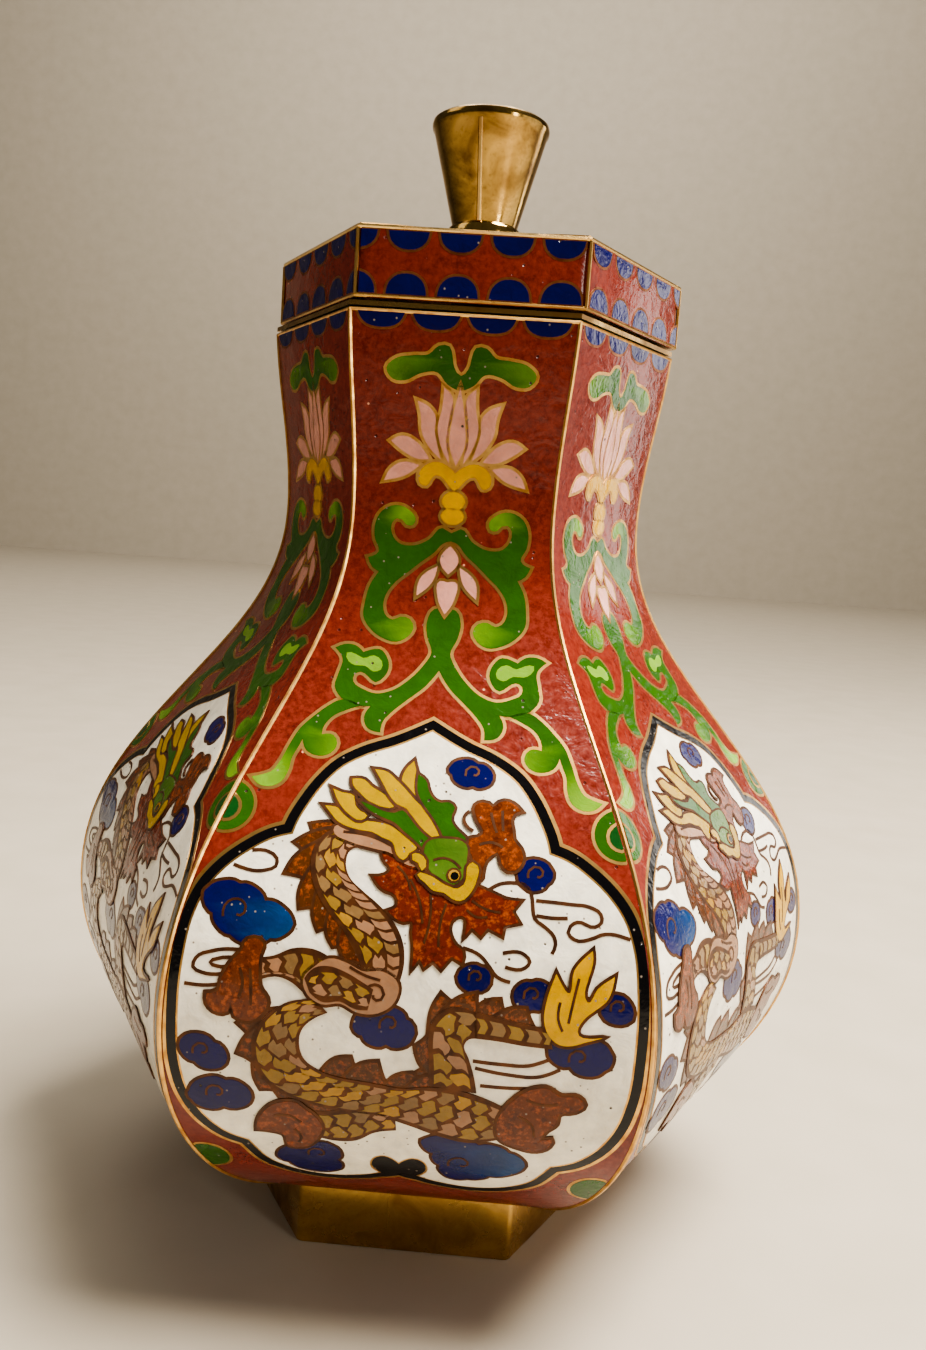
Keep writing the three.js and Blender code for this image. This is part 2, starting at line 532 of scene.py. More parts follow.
def outset(points, outline, width):
    """The outline through some points moved out by a width.

    The runs between sharp corners are cut where they cross, or carried on until they meet.
    """
    corners = [np.array(p[:2]) for p in points if len(p) > 2]
    x, y = outline.T
    if np.sum(x * np.roll(y, -1) - y * np.roll(x, -1)) < 0:
        outline = outline[::-1]
    marks = [i for i, p in enumerate(outline) if any(np.hypot(*(p - c)) < 1e-6 for c in corners)]
    if not marks:
        ring = np.vstack([outline[-1:], outline, outline[:1]])
        return outline + width * sideways(ring)[1:-1]
    outline = np.roll(outline, -marks[0], axis=0)
    marks = [mark - marks[0] for mark in marks] + [len(outline)]
    ring = np.vstack([outline, outline[:1]])
    runs = []
    for start, end in zip(marks, marks[1:]):
        run = ring[start:end + 1]
        runs.append(list(run + width * sideways(run)))
    for i, run in enumerate(runs):
        after = runs[(i + 1) % len(runs)]
        corner = ring[marks[i + 1]]
        found = crossing(run, after)
        if found:
            a, b, point = found
            run[a + 1:] = [point]
            after[:b + 1] = []
        else:
            out = (run[-1] + after[0]) / 2 - corner
            longest_point = 2.6 * width
            reach = min(width * width / max(np.hypot(*out), 0.25 * width), longest_point)
            run.append(corner + out / max(np.hypot(*out), 1e-9) * reach)
    return np.array([point for run in runs for point in run])


def mirrored(points):
    return [(-p[0], *p[1:]) for p in points]


def whole(half):
    """A full outline from its left half, which starts and ends on the middle line."""
    return half + mirrored(half[-2:0:-1])


class Inlay:
    """Tiles of glass and of wire, drawn flat in millimetres across a face and up along it.

    Each lies on a level, over the tiles of the lower ones: a level of one more lifts it by 0.04 mm.
    """

    def __init__(self, half_width):
        self.half_width = half_width
        self.glass = []
        self.wire = []

    def tile(self, kind, outline, level, finish, tips=()):
        """One tile, kept within the face; tips are places where its glass turns to another colour."""
        kept = outline.copy()
        limit = self.half_width(kept[:, 1]) - edge_margin
        kept[:, 0] = np.clip(kept[:, 0], -limit, limit)
        least_step = 0.02
        apart = np.hypot(*(kept - np.roll(kept, 1, axis=0)).T) > least_step
        kind.append((kept[apart], level, finish, tips))

    def cell(self, points, glaze, level, wire=GILT, width=wire_width, tips=(), rise=0.5):
        """A cell of glass with its wire round it, on a level of its own; the glass covers the middle."""
        outline = curve_through(points)
        if wire is not None:
            self.tile(self.wire, outset(points, outline, width), level, wire)
        self.tile(self.glass, outline, level + rise, glaze, tips)

    def line(self, points, level, width=wire_width):
        """A copper wire that ends free in the glass."""
        run = curve_through(points, closed=False)
        side = width / 2 * sideways(run)
        self.tile(self.wire, np.vstack([run + side, (run - side)[::-1]]), level + 0.5, COPPER)

    def pair(self, points, *settings, **more):
        """The same cell on both sides of the middle."""
        self.cell(points, *settings, **more)
        self.cell(mirrored(points), *settings, **more)

    def flat_mesh(self, tiles, name, cuts):
        """One flat mesh of all the tiles, cut across so that it can bend, and given its depth."""
        vertices, faces = [], []
        for outline, level, _, _ in tiles:
            lift = ground_lift + level * level_lift
            faces.append(range(len(vertices), len(vertices) + len(outline)))
            vertices += [(x * mm, y * mm, lift) for x, y in outline]
        mesh = bpy.data.meshes.new(name)
        mesh.from_pydata(vertices, [], faces)
        mark = mesh.attributes.new("tile", "INT", "FACE")
        mark.data.foreach_set("value", range(len(faces)))
        piece = bpy.data.objects.new(name, mesh)
        bpy.context.collection.objects.link(piece)
        select_only(piece)
        bpy.ops.object.mode_set(mode="EDIT")
        for cut in cuts:
            bpy.ops.mesh.select_all(action="SELECT")
            bpy.ops.mesh.bisect(plane_co=(0, cut, 0), plane_no=(0, 1, 0), threshold=1e-7)
        bpy.ops.mesh.select_all(action="SELECT")
        bpy.ops.mesh.quads_convert_to_tris(quad_method="BEAUTY", ngon_method="BEAUTY")
        bpy.ops.mesh.normals_make_consistent(inside=False)
        down = {"value": (0, 0, -tile_depth)}
        bpy.ops.mesh.extrude_region_move(TRANSFORM_OT_translate=down)
        bpy.ops.mesh.select_all(action="SELECT")
        bpy.ops.mesh.normals_make_consistent(inside=False)
        bpy.ops.object.mode_set(mode="OBJECT")
        bpy.ops.object.shade_smooth_by_angle(angle=math.radians(30))
        return piece

    def tile_numbers(self, mesh):
        numbers = np.empty(len(mesh.polygons), int)
        mesh.attributes["tile"].data.foreach_get("value", numbers)
        return numbers

    def glass_mesh(self, name, cuts):
        """The glass, with each cell's colour, and those of its tips, on the corners of its faces."""
        piece = self.flat_mesh(self.glass, name, cuts)
        mesh = piece.data
        mesh.materials.append(glass_finish)
        places = np.empty(len(mesh.vertices) * 3)
        mesh.vertices.foreach_get("co", places)
        places = places.reshape(-1, 3)[:, :2] / mm
        colours = np.ones((len(mesh.loops), 4))
        for polygon, number in zip(mesh.polygons, self.tile_numbers(mesh)):
            _, _, glaze, tips = self.glass[number]
            for loop in polygon.loop_indices:
                colours[loop] = glaze
                here = places[mesh.loops[loop].vertex_index]
                for middle, reach, tip_glaze in tips:
                    away = min(np.hypot(*(here - middle)) / reach, 1)
                    share = 1 - away * away * (3 - 2 * away)
                    colours[loop] = colours[loop] * (1 - share) + np.array(tip_glaze) * share
        layer = mesh.color_attributes.new("glaze", "FLOAT_COLOR", "CORNER")
        layer.data.foreach_set("color", colours.ravel())
        return piece

    def wire_mesh(self, name, cuts):
        """The wires, each face with the metal of its own wire."""
        piece = self.flat_mesh(self.wire, name, cuts)
        mesh = piece.data
        for finish in wire_finishes:
            mesh.materials.append(finish)
        metals = np.array([metal for _, _, metal, _ in self.wire])
        mesh.polygons.foreach_set("material_index", metals[self.tile_numbers(mesh)].astype(np.int32))
        return piece


def bend(flat, name, turn, runs, distances, heights, middle=0.0):
    """A copy of a flat mesh bent onto one face: its middle line follows the face upwards."""
    piece = flat.copy()
    piece.data = flat.data.copy()
    piece.name = name
    bpy.context.collection.objects.link(piece)
    places = np.empty(len(piece.data.vertices) * 3)
    piece.data.vertices.foreach_get("co", places)
    across, run, lift = places.reshape(-1, 3).T
    out_slope, up_slope = np.gradient(distances, runs), np.gradient(heights, runs)
    distance = np.interp(run, runs, distances) + lift * np.interp(run, runs, up_slope)
    height = np.interp(run, runs, heights) - lift * np.interp(run, runs, out_slope)
    x = distance * math.cos(turn) - across * math.sin(turn) + middle
    y = distance * math.sin(turn) + across * math.cos(turn)
    piece.data.vertices.foreach_set("co", np.column_stack([x, y, height]).ravel())
    piece.data.update()
    return piece


face_names = ("front", "right_front", "right_back", "back", "left_back", "left_front")


def dress(inlay, label, cuts, line, sides, middle=0.0):
    """The glass and wires of an inlay bent onto some of the six faces, a piece of each on every face."""
    flats = (inlay.glass_mesh(label + "_glass", cuts), inlay.wire_mesh(label + "_wire", cuts))
    for side in sides:
        turn = math.radians(-90) + side * step_angle
        for flat, slot in zip(flats, ("enamel", "brass")):
            piece = bend(flat, flat.name + "_" + face_names[side], turn, *line, middle)
            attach(piece, "root")
    for flat in flats:
        bpy.data.objects.remove(flat)


def cell_glass():
    """Glass in the colour of its cell, clouded, a little pitted, and polished."""
    shader = Shader("cell_glass")
    glaze = shader.nodes.new("ShaderNodeAttribute")
    glaze.attribute_name = "glaze"
    cloud = shader.ramp(shader.noise(330, 4, 0.65), 0.3, 0.75)
    shade = shader.mix(cloud, (1.0, 1.0, 1.0, 1), (0.66, 0.66, 0.67, 1))
    tone = shader.mix(1.0, glaze.outputs["Color"], shade, "MULTIPLY")
    grain = shader.ramp(shader.noise(1900, 4, 0.75), 0.45, 0.75, 0, 0.42)
    tone = shader.mix(grain, tone, (0.62, 0.5, 0.36, 1), "OVERLAY")
    small_pits = shader.spots(1250, 0.17, 0.26)
    tone = shader.mix(small_pits, tone, srgb(126, 116, 104))
    pits = shader.spots(560, 0.1, 0.26)
    tone = shader.mix(pits, tone, srgb(60, 48, 40))
    coarse = shader.math("SUBTRACT", 1.0, glaze.outputs["Alpha"])
    bright_grains = shader.ramp(shader.noise(1500, 3, 0.7), 0.5, 0.66, 0, 0.8)
    dark_grains = shader.ramp(shader.noise(980, 3, 0.7), 0.54, 0.66, 0, 0.7)
    tone = shader.mix(shader.math("MULTIPLY", coarse, bright_grains), tone, srgb(148, 74, 36))
    tone = shader.mix(shader.math("MULTIPLY", coarse, dark_grains), tone, srgb(58, 22, 12))
    shader.colour(tone)
    shader.fixed(Specular_IOR_Level=0.38)
    shader.roughness(shader.ramp(cloud, 0, 1, 0.12, 0.22))
    wavy = shader.math("SUBTRACT", shader.noise(460, 3, 0.6, 0.5), shader.math("MULTIPLY", pits, 0.6))
    shader.relief(wavy, 0.14 * mm, 0.8)
    return shader.material


def wire_metal(name, bright, dull, metallic, smooth, rough, scale=700):
    """Cell wire, ground flat with the glass: brighter and duller patches."""
    shader = Shader(name)
    patches = shader.ramp(shader.noise(scale, 3), 0.35, 0.7)
    shader.colour(shader.mix(patches, bright, dull))
    shader.fixed(Metallic=metallic)
    shader.roughness(shader.ramp(patches, 0, 1, smooth, rough))
    return shader.material


# Gilded wire stands on the red ground and brown copper in the white panel. On the lid and round the
# mouth the wire is a darker, redder metal.
glass_finish = cell_glass()
wire_finishes = [
    wire_metal("gilt_wire", srgb(228, 184, 114), srgb(180, 130, 72), 1.0, 0.3, 0.42),
    wire_metal("copper_wire", srgb(92, 54, 26), srgb(58, 32, 16), 0.5, 0.42, 0.42, scale=800),
    wire_metal("tarnished_wire", srgb(168, 108, 68), srgb(112, 62, 36), 0.9, 0.34, 0.46),
]


def body_half_width(run):
    return np.interp(run, levels / mm, run_distances / mm) * math.tan(math.pi / SIDES)


picture = Inlay(body_half_width)

# The levels on which the figures in the panel lie over one another, from the clouds up to the eye.
cloud_level = 2
fin_level = 3
body_level = 4
loop_level = 4.5
beard_level = 4.5
tail_level = 5
haunch_level = 5
mane_level = 5
flame_level = 5.5
claw_level = 5.6
lock_level = 5.6
horn_level = 6.6
face_level = 7
jaw_level = 7.6
eye_level = 8.2
small_step = 0.2

# Panel: a white field in a lobed frame, with a wire, a black band and a second wire round it.
panel_half = [
    (0, 65.9, 1), (-3.4, 64), (-6.35, 62.7), (-8.7, 61.1), (-10.2, 59.2), (-11.35, 57.1),
    (-12.2, 55.1), (-12.5, 53.9, 1), (-14.3, 53.3), (-16.35, 52), (-18.4, 50.2), (-19.9, 48.2),
    (-20.9, 45.6), (-21.5, 41.5), (-21.65, 36), (-21.35, 31.1), (-20.5, 27.6), (-18.7, 24.35),
    (-16.9, 22.6), (-14.9, 21.7, 1), (-14.15, 20.3), (-13.1, 18.5), (-11.35, 17), (-9.3, 16.1),
    (-7.3, 15.8), (-5.2, 16.1), (-3.4, 16.7), (-2.1, 17.4, 1), (-2.8, 18.4), (-2.9, 19.5),
    (-2.3, 20.7), (-1.4, 21), (-0.5, 20.5), (0, 19.9, 1),
]
band_width = 1.15
band_half = panel_half[:-6] + [(-1.6, 17.5), (0, 18.5, 1)]
band_outline = curve_through(whole(band_half))
outer_wire = outset(whole(band_half), band_outline, band_width + 0.38)
picture.tile(picture.wire, outer_wire, 0, GILT)
picture.tile(picture.glass, outset(whole(band_half), band_outline, band_width), 0.5, black_glass)
picture.cell(whole(panel_half), white_glass, 1, width=0.2)

# Scrolls, lotus and buds on the red ground above the panel.
scroll = [
    (0, 88.5), (1, 89), (2.3, 87.7), (4, 86.9), (5.67, 87.1), (6.4, 88), (6.5, 89.1), (6, 89.7),
    (5.4, 89.6), (4.9, 89.06), (4.2, 89.1), (3.97, 89.85), (4.6, 90.6), (5.7, 91.1), (6.7, 91),
    (7.65, 90.4), (8.26, 89.2), (8.2, 87.3), (7.7, 86), (8.8, 85.3, 1), (8.3, 84.3),
    (7.5, 83.8, 1), (8.3, 82.3), (8.67, 80.3), (8.67, 78.7), (7.67, 77.2), (6.3, 76.3),
    (4.83, 76), (3.67, 76.7), (3.17, 77.7), (3.67, 78.7), (4.67, 78.9), (5.5, 78.5),
    (6.17, 78.8), (6.67, 80), (6.5, 81.3), (5.67, 82.7), (4.3, 84), (3, 85.2), (1.67, 86.3),
    (0.83, 87.3), (0, 87.6),
]
curl_ends = [((side * 5, 90.2), 2.4, light_green) for side in (-1, 1)]
toe_ends = [((side * 4.2, 77.6), 2.2, light_green) for side in (-1, 1)]
picture.cell(whole(scroll), green_glass, 0, tips=curl_ends + toe_ends)
stem_half = [
    (0, 80.2), (-1.2, 80), (-1.8, 78.6), (-1.6, 76.8), (-1, 75), (-1.67, 73.5), (-3, 71.7), (-4.67, 70.3),
    (-6.3, 69.8), (-7.67, 70.2), (-8.8, 71), (-8.8, 71.8), (-8.17, 72.2), (-7.3, 71.7),
    (-6.5, 71.1), (-5.67, 71.8), (-5.3, 72.8), (-5.67, 74.2), (-6.5, 75), (-7.5, 74.8),
    (-8.17, 74.5, 1), (-9, 75.2), (-10.2, 75.3), (-11.2, 74.8, 1), (-10.3, 73.7), (-10.5, 71.7),
    (-10.67, 70.3), (-9.8, 69, 1), (-8, 68.3), (-6.67, 68.3, 1), (-7.17, 67), (-6.67, 65.8),
    (-5.3, 65.4, 1), (-5.17, 66.7), (-4.5, 67.7), (-3, 69.3), (-1.3, 71), (0, 73, 1),
]
picture.cell(whole(stem_half), green_glass, 0)
leaf = [
    (-9.9, 74.3), (-8.9, 74.2), (-8.1, 73.8), (-7, 74.2), (-6.1, 73.6), (-6.1, 72.6), (-6.8, 72.3),
    (-7.8, 72.9), (-8.9, 72.9), (-9.6, 73.3),
]
picture.pair(leaf, light_green, 0.5, wire=None)
spray = [
    (-9.8, 68.8), (-11, 68), (-12.3, 66.7), (-13.5, 65.2), (-14.3, 63.3), (-15, 61.3),
    (-15.67, 60.2), (-16.5, 59.8), (-17.5, 59.5, 1), (-16.8, 58.8), (-15.67, 58.6), (-14.5, 59.2),
    (-14, 60.3), (-13.8, 62), (-13.3, 63.3), (-13.07, 64, 1), (-12.5, 62.8), (-11.2, 62.3),
    (-10, 62.7), (-9.5, 63.8), (-10, 64.7), (-11.2, 64.7, 1), (-11.2, 65.3), (-10.5, 66.7),
    (-9, 67.7), (-7.67, 68.3, 1),
]
for side, shape in ((-1, spray), (1, mirrored(spray))):
    spray_ends = [((side * 16, 59.3), 5, light_green), ((side * 10.6, 63.6), 2, light_green)]
    picture.cell(shape, green_glass, 0, tips=spray_ends)


def around(middle, radius, points=16):
    turns = [2 * math.pi * i / points for i in range(points)]
    return [(middle[0] + radius * math.cos(t), middle[1] + radius * math.sin(t)) for t in turns]


for side in (-1, 1):
    picture.cell(around((side * 19.4, 56.4), 2.6), green_glass, 0)
    picture.cell(around((side * 19.5, 56.2), 1.25), dark_green, 1)
    picture.cell(around((side * 19.6, 17.6), 2.3), green_glass, 0)

picture.cell([(0, 87.1, 1), (-1, 85.5), (0, 84, 1), (1, 85.5)], pink_glass, 1)
picture.pair([(-1.2, 84.8, 1), (-3, 83.3), (-3.2, 81.4, 1), (-1.67, 83)], pink_glass, 1)
picture.cell([(-0.8, 83.2), (0, 83.1, 1), (0.8, 83.2), (0.9, 81.3), (0, 79.5, 1), (-0.9, 81.3)],
             pink_glass, 1)

petals = [
    [(-0.76, 95.9, 1), (-1.7, 97.6), (-2.16, 99.5), (-1.8, 101.6), (-1.7, 103.7, 1), (-0.9, 103),
     (-0.62, 101.4), (-0.95, 99.2), (-0.85, 97.1)],
    [(-1.7, 96.3, 1), (-2.87, 97.35), (-3.8, 98.9), (-4.05, 100.8), (-4.45, 102.2, 1),
     (-3.26, 101.7), (-2.5, 100.8), (-2.47, 99.2), (-2.08, 97.6)],
    [(-2.87, 96.2, 1), (-4.3, 96.2), (-5.6, 96.8), (-7.1, 97.9, 1), (-5.9, 98.5), (-4.6, 98.1),
     (-3.5, 97.1)],
    [(-3.9, 95.5, 1), (-5.1, 94.5), (-7.6, 93.7, 1), (-6.95, 95), (-5.9, 95.7)],
]
for petal in petals:
    picture.pair(petal, pink_glass, 0)
middle_petal = [(0, 95.7, 1), (-0.85, 98), (-0.72, 100), (-0.45, 101.8), (0, 103.8, 1)]
picture.cell(whole(middle_petal), pink_glass, 0.5)
calyx_half = [
    (0, 94.85, 1), (-0.9, 95.6), (-1.95, 95.96), (-3.26, 95.5), (-3.9, 94.5), (-3.7, 93.6),
    (-3, 93.4), (-2.6, 94.06), (-2.1, 94.6), (-1.16, 94.2), (-0.5, 93.4), (0, 93, 1),
]
picture.cell(whole(calyx_half), yellow_glass, 1)
for low, high in ((91.2, 92.6), (89.7, 90.9)):
    middle = (low + high) / 2
    bar = [(-0.9, low), (0.9, low), (1.25, middle), (0.9, high), (-0.9, high), (-1.25, middle)]
    picture.cell(bar, yellow_glass, 1)
leaf_half = [
    (0, 103.5), (-1.4, 104.06), (-2.5, 105.2), (-4.3, 105), (-5.9, 104.2), (-7.2, 104.3),
    (-7.9, 105.4), (-7.1, 106.3), (-5.1, 106.8), (-3.5, 107), (-2.5, 107.9), (-1.4, 107.9),
    (-1.03, 107), (-0.76, 105.8), (0, 105),
]
leaf_ends = [((side * 6.8, 105.3), 2, light_green) for side in (-1, 1)]
picture.cell(whole(leaf_half), green_glass, 0, tips=leaf_ends)

face_top = face_length / mm
scallop_wire = 0.28
for middle in (-8.7, -2.9, 2.9, 8.7):
    hanging = [
        (middle - 2.55, face_top, 1), (middle - 1.9, face_top - 1.2), (middle, face_top - 1.75),
        (middle + 1.9, face_top - 1.2), (middle + 2.55, face_top, 1),
    ]
    picture.cell(hanging, navy_glass, 0, LID_AND_MOUTH_WIRE, scallop_wire)

# Clouds and thin lines on the white field.
cloud_notches = [
    [(2.1, 62.1), (4.9, 62.7), (6.5, 61.1), (4.6, 60.3), (2.4, 61.4)],
    [(10, 52.85), (12.8, 52.4), (12.5, 51.1), (10.3, 50.6)],
    [(4.6, 41.8), (6.8, 42.85), (7.7, 41.8), (6.6, 40.65)],
    [(10, 40.4), (11.6, 41.85), (13.6, 41), (11.9, 39.35)],
    [(18.3, 39.5), (19.6, 41.4), (21.2, 39.2)],
    [(13.6, 35.7), (16.35, 36.4), (19.4, 36), (19, 34.06), (15.8, 34.2)],
    [(-4.9, 36.56), (-1.9, 38.2), (0.1, 37.4), (0.85, 35.7), (-1.65, 34.8), (-4, 35.5)],
    [(-21.3, 33.5), (-18.1, 33.5), (-16.9, 31.4), (-19.9, 31.3)],
    [(-20.5, 27.9), (-16.9, 29.5), (-14.4, 27.7), (-17.2, 26.3), (-20.3, 26.85)],
    [(-12.2, 19.35), (-9, 21.4), (-6.65, 22), (-6.2, 19.35), (-6.35, 17.15), (-11.06, 18.2)],
]


def lobed(notches, swell=0.2):
    """An outline of round lobes between notches."""
    outline = []
    notches = [np.array(notch) for notch in notches]
    middle = np.mean(notches, axis=0)
    for i, notch in enumerate(notches):
        after = notches[(i + 1) % len(notches)]
        along = after - notch
        out = np.array([along[1], -along[0]])
        out = out * np.sign(out @ ((notch + after) / 2 - middle)) * swell
        outline.append((*notch, 1))
        for share, height in ((0.16, 0.8), (0.5, 1.2), (0.84, 0.8)):
            outline.append(tuple(notch + share * along + height * out))
    return outline


for notches in cloud_notches:
    picture.cell(lobed(notches), navy_glass, cloud_level, COPPER)
left_cloud = [
    (-20, 48), (-16.9, 48.7), (-14.3, 47.3), (-11.35, 45.35), (-13.4, 43.9), (-17.2, 43.9),
    (-19.15, 45.8), (-20.2, 47.4),
]
right_cloud = [
    (2.2, 24.06), (3.4, 22.15), (4.1, 20.2), (5.5, 17.6), (6.8, 17.9), (9, 18.9), (12.5, 21.4),
    (10.8, 23.3), (7.8, 24.06),
]
for notches, blue_end in ((left_cloud, ((-13, 45.2), 3.8)), (right_cloud, ((10.6, 21.3), 4.4))):
    tips = [(*blue_end, turquoise_glass)]
    picture.cell(lobed(notches, 0.14), navy_glass, cloud_level, COPPER, tips=tips)


def curl(middle, radius, start, turns):
    """A small spiral wire, from its outer end inwards."""
    points = []
    count = max(6, round(turns * 8))
    for i in range(count + 1):
        share = i / count
        angle = start - share * turns * 2 * math.pi
        reach = radius * (1 - 0.75 * share)
        points.append((middle[0] + reach * math.cos(angle), middle[1] + reach * math.sin(angle)))
    return points


cloud_curls = [
    ((4.6, 61.7), 0.75), ((11.5, 51.9), 0.8), ((6.4, 41.9), 0.65), ((11.8, 40.7), 0.75),
    ((19.9, 40.2), 0.7), ((16.6, 35.1), 0.85), ((-1.4, 36.8), 0.85), ((-19.2, 32.6), 0.8),
    ((-17.8, 28), 0.9), ((-8, 20.4), 0.9), ((-16.8, 46.2), 1.2), ((6.2, 20.8), 1.1),
]
for middle, radius in cloud_curls:
    picture.line(curl(middle, radius * 1.25, start=3.6, turns=0.85), cloud_level + 0.5, width=0.24)

thin_lines = [
    [(7, 50.1), (8, 50.7), (9.5, 50.9), (10.3, 50.8), (11, 50), (11.2, 49), (11.5, 47.7),
     (12.5, 47), (13.4, 46.2), (13.6, 45.5), (13.3, 44.6)],
    [(11.5, 49.4), (14.9, 49.3), (16.6, 49.2), (17.7, 48.6), (17.8, 47.85), (17.2, 47.4),
     (15.5, 47.7), (14.9, 47.3), (14.7, 46.7), (15.3, 46.1), (17.2, 46.4), (17.8, 46.7), (20.6, 46.5)],
    [(11.6, 48), (13, 47.9), (14.6, 48)],
    [(8.7, 44.3), (10.8, 44.3), (11.3, 43.7), (10.9, 43.15), (9, 43.06)],
    [(4.9, 44.5), (6.6, 43.9), (7.5, 43), (8.3, 42.1), (9.6, 41.7)],
    [(6.65, 33.9), (9.5, 33.8), (11.9, 33.9), (13.7, 34.65)],
    [(6.9, 33.2), (10, 32.8), (13.1, 32.9), (14.9, 33.8)],
    [(7.5, 31.4), (10, 31.4), (12.5, 31.6)],
    [(-16.2, 52), (-14.6, 52), (-13.7, 51.4), (-13.7, 50.65), (-14.6, 50.2), (-17.8, 50.5)],
    [(-15.8, 42.6), (-18.7, 42.3), (-20.3, 41.5), (-20.5, 40.65), (-19.6, 40.2), (-17.7, 40.2)],
    [(-16.2, 41.8), (-18.2, 41.6), (-18.9, 41.2), (-18.2, 40.9), (-17, 41)],
    [(-21.2, 39.06), (-19.4, 39), (-17.9, 39.2)],
]
for line in thin_lines:
    picture.line(line, cloud_level, width=0.36)

# Dragon: fins and claws below, then the scaled strands of its body, and the head last.
chance = random.Random(11)


def fins(edge, tips):
    """Brown spikes that lean back: each tip stands out from the nearest stretch of an edge."""
    run = curve_through(edge, closed=False)
    for number, tip in enumerate(tips):
        tip = np.array(tip)
        nearest = int(np.argmin(np.hypot(*(run - tip).T)))
        before = run[max(nearest - 6, 0)]
        after = run[min(nearest + 2, len(run) - 1)]
        out = tip - run[nearest]
        tip = tip + 0.12 * out
        belly = before * 0.5 + tip * 0.5 + out * 0.3
        hollow = after * 0.55 + tip * 0.45 - out * 0.1
        spike = [(*before, 1), tuple(belly), (*tip, 1), tuple(hollow), (*after, 1)]
        picture.cell(spike, fin_glass, fin_level + small_step * number, COPPER, rise=0.1)


def strand(left, right, level, scale_columns, bars=0.0, pitch=1.85):
    """A stretch of the body between two edges: rows of scales, and belly bars along the right.

    The brown ground left between the cells stands for their wires.
    """
    left_run = curve_through(left, closed=False)
    right_run = curve_through(right, closed=False)
    count = max(len(left_run), len(right_run))
    share = np.linspace(0, 1, count)

    def even(run):
        travel = np.concatenate([[0], np.cumsum(np.hypot(*np.diff(run, axis=0).T))])
        grid = share * travel[-1]
        return np.column_stack([np.interp(grid, travel, run[:, 0]), np.interp(grid, travel, run[:, 1])])

    left_run, right_run = even(left_run), even(right_run)
    picture.tile(picture.wire, np.vstack([left_run, right_run[::-1]]), level + 0.5, COPPER)
    middle = (left_run + right_run) / 2
    travel = np.concatenate([[0], np.cumsum(np.hypot(*np.diff(middle, axis=0).T))])

    def place(along, across):
        edges = []
        for run in (left_run, right_run):
            edges.append([np.interp(along, travel, run[:, 0]), np.interp(along, travel, run[:, 1])])
        return np.array(edges[0]) * (1 - across) + np.array(edges[1]) * across

    def patch(points, glazes):
        shape = [(*place(*point[:2]), *point[2:]) for point in points]
        picture.tile(picture.glass, curve_through(shape, step=0.5), level + 1, chance.choice(glazes))

    length = travel[-1]
    gap = 0.24
    width = np.mean(np.hypot(*(left_run - right_run).T))
    side_gap = gap / width
    scale_width = (1 - bars) / scale_columns
    reach = scale_width / 3
    for column in range(scale_columns):
        centre = (column + 0.5) * scale_width
        first, last = column == 0, column == scale_columns - 1 and not bars
        along = -pitch * (0.3 + 0.5 * (column % 2))
        while along < length - 0.5:
            tail, nose = max(along + gap, gap), min(along + pitch - gap, length - gap)
            if nose - tail > 0.5:
                middle = (tail + nose) / 2
                narrow, wide = reach - side_gap * 0.6, 2 * reach - side_gap
                low = centre - (1.5 * reach - 2 * side_gap if first else narrow)
                high = centre + (1.5 * reach - 2 * side_gap if last else narrow)
                low_wide = low if first else centre - wide
                high_wide = high if last else centre + wide
                bow = 0.2 * pitch
                points = [(tail, low, 1), (tail + bow, centre), (tail, high, 1), (middle + bow, high_wide),
                          (nose, high, 1), (nose + bow, centre), (nose, low, 1), (middle + bow, low_wide)]
                patch(points, (olive_glass, straw_glass, mauve_glass, olive_glass, fawn_glass))
            along += pitch * chance.uniform(0.94, 1.06)
    along = 0.2
    while bars and along < length - 0.9:
        low, high = 1 - bars + side_gap, 1 - 2 * side_gap
        points = [(along, low, 1), (along + 0.3, (low + high) / 2), (along + 0.1, high, 1),
                  (along + 1.0, high, 1), (along + 1.2, (low + high) / 2), (along + 0.9, low, 1)]
        patch(points, (mauve_glass, straw_glass, mauve_glass, fawn_glass))
        along += 1.24


neck_outer = [(-5.4, 55), (-7.5, 55), (-9.3, 54.3), (-10.3, 52.7), (-10.3, 50.6), (-9.4, 48.4),
              (-7.7, 46.3), (-6, 44.7), (-4.9, 43.2), (-4.6, 41.6), (-4.9, 40)]
neck_inner = [(-4.6, 52.9), (-5.8, 53.1), (-6.7, 52.8), (-7, 51.8), (-6.5, 50.2), (-5.1, 49), (-3.4, 47.8),
              (-1.8, 46.3), (-0.8, 44.6), (-0.5, 42.6), (-0.9, 40.4)]
loop_outer = [(-8.6, 38.6), (-11.2, 38.1), (-13.2, 36.6), (-14.4, 34.3), (-14.3, 32), (-13.1, 29.8),
              (-11, 28.4), (-8, 27.5), (-5, 27.1), (-2, 26.9), (1, 26), (4, 24.9), (7, 24.4), (9.6, 25.2)]
loop_inner = [(-7.4, 37.4), (-8.7, 36.7), (-9.7, 35.6), (-9.9, 34), (-9.4, 32.6), (-8, 31.6), (-6, 31),
              (-4, 30.8), (-2, 30.6), (0, 30.4), (2.4, 30.8), (5, 30.8), (7.6, 30.2), (10, 29.2)]
rise_outer = [(2.6, 31), (2.5, 33.5), (2.3, 35.5), (2.6, 37.6), (4, 38.8), (6.6, 38.7)]
rise_inner = [(7.2, 30.6), (6.8, 32.5), (6.2, 34.2), (5.7, 35.5), (6, 36), (6.9, 36.2)]
tail_outer = [(6.4, 38.7), (8.5, 38.4), (11, 38), (13.6, 37.7)]
tail_inner = [(6.7, 36.2), (9, 36.1), (11, 35.9), (14, 35.8)]
leg_outer = [(-10, 27), (-8, 26.8), (-5.5, 27.3), (-3, 27.9), (-0.5, 27.8)]
